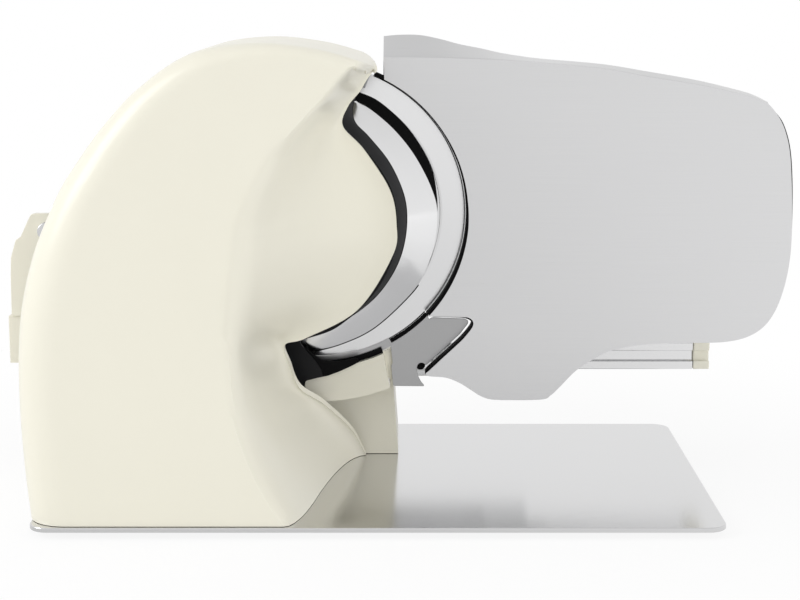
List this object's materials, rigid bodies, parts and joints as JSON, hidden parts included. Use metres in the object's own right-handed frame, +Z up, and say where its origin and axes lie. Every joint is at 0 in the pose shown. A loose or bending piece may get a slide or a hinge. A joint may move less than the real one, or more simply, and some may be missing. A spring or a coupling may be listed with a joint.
{
  "type": "food slicer",
  "caption": "Electric food slicer: round blade in a cast housing on a base plate, bent gauge plate set by a knob, sliding food carriage with a swing-up pusher, push buttons.",
  "frame": {"origin": "middle of the bottom of the bounding box, on the surface that the feet stand on", "axes": "+X along the carriage's travel, from the housing towards the gauge plate's free end; +Y along the blade's axis, from the slice side towards the food side where the operator stands; +Z up"},
  "size_m": [0.5222, 0.287, 0.2929],
  "materials": {
    "cream_paint": "satin powder coat over a metal casting",
    "brushed_steel": "fine brushed stainless steel",
    "polished_steel": "polished hard-chromed steel",
    "black_plastic": "black moulded plastic, satin",
    "cast_aluminium": "plain casting",
    "aluminium": "fine satin, anodised",
    "rubber": "black rubber",
    "circuit_board": "green circuit board"
  },
  "bodies": {
    "stand": {"base_plate": "brushed_steel", "foot_1": "rubber", "foot_2": "rubber", "foot_3": "rubber", "foot_4": "rubber", "housing": "cream_paint", "housing_scoop": "cream_paint", "frame_wall": "cast_aluminium", "front_body": "cream_paint", "blade_column": "cream_paint", "guard_plate": "brushed_steel", "ring_guard": "cast_aluminium", "deflector_plate": "polished_steel", "deflector_carrier": "black_plastic", "blade_cover": "aluminium", "cover_screw": "polished_steel", "cable_inlet": "rubber", "control_board": "circuit_board", "bearing_near": "brushed_steel", "bearing_far": "brushed_steel", "blade_axle": "brushed_steel", "axle_bracket": "cast_aluminium", "drive_belt": "rubber", "motor": "brushed_steel", "motor_mount": "cast_aluminium", "stop_spring": "brushed_steel", "start_spring": "brushed_steel", "guide_rod_left": "polished_steel", "guide_rod_right": "polished_steel", "rail_beam": "aluminium", "rail_cap_right": "cream_paint", "rail_cap_left": "cream_paint"},
    "blade_rotor": {"blade": "polished_steel", "blade_screw_1": "brushed_steel", "blade_screw_2": "brushed_steel", "blade_screw_3": "brushed_steel", "blade_hub": "cast_aluminium", "drive_pulley": "black_plastic"},
    "motor_rotor": {"motor_shaft": "brushed_steel", "motor_pulley": "black_plastic", "motor_fan": "black_plastic"},
    "gauge": {"gauge_plate": "black_plastic", "gauge_face": "brushed_steel", "gauge_arm": "aluminium", "gauge_slider": "aluminium", "follower_pin": "brushed_steel"},
    "knob": {"thickness_knob": "black_plastic", "cam_barrel": "aluminium"},
    "carriage": {"carriage_slider": "cream_paint", "tray": "brushed_steel", "end_casting": "cream_paint", "pusher_rod": "polished_steel"},
    "sleeve": {"pusher_sleeve": "black_plastic"},
    "pusher": {"pusher_arm": "aluminium", "pusher_plate": "aluminium", "pusher_grip": "cream_paint"},
    "start": {"start_button": "black_plastic"},
    "stop": {"stop_button": "black_plastic"}
  },
  "joints": [
    {"name": "blade_spin", "type": "hinge", "parent": "stand", "child": "blade_rotor", "pos_m": [-0.05015, 0.0085, 0.1773], "axis": [0, 1, 0], "continuous": true},
    {"name": "motor_spin", "type": "hinge", "parent": "stand", "child": "motor_rotor", "pos_m": [-0.15515, -0.03, 0.1273], "axis": [0, 1, 0], "continuous": true},
    {"name": "gauge_slide", "type": "slide", "parent": "stand", "child": "gauge", "axis": [0, -1, 0], "range_m": [0, 0.015]},
    {"name": "knob_turn", "type": "hinge", "parent": "stand", "child": "knob", "pos_m": [-0.11015, 0.11, 0.0373], "axis": [0, 1, 0], "range_deg": [0, 270]},
    {"name": "carriage_slide", "type": "slide", "parent": "stand", "child": "carriage", "axis": [1, 0, 0], "range_m": [0, 0.25]},
    {"name": "pusher_slide", "type": "slide", "parent": "carriage", "child": "sleeve", "axis": [0, -1, 0], "range_m": [0, 0.062]},
    {"name": "pusher_swing", "type": "hinge", "parent": "sleeve", "child": "pusher", "pos_m": [-0.23315, 0.1, 0.1623], "axis": [0, -1, 0], "range_deg": [0, 100]},
    {"name": "start_press", "type": "slide", "parent": "stand", "child": "start", "axis": [0, -1, 0], "range_m": [0, 0.0025], "stiffness_N_per_m": 600, "springref_m": -0.002, "deforming": ["start_spring"]},
    {"name": "stop_press", "type": "slide", "parent": "stand", "child": "stop", "axis": [0, -1, 0], "range_m": [0, 0.0025], "stiffness_N_per_m": 600, "springref_m": -0.002, "deforming": ["stop_spring"]}
  ],
  "couplings": [
    {"joint": "motor_spin", "follows": "blade_spin", "ratio": 4.52},
    {"joint": "knob_turn", "follows": "gauge_slide", "rad_per_m": 314.15}
  ]
}
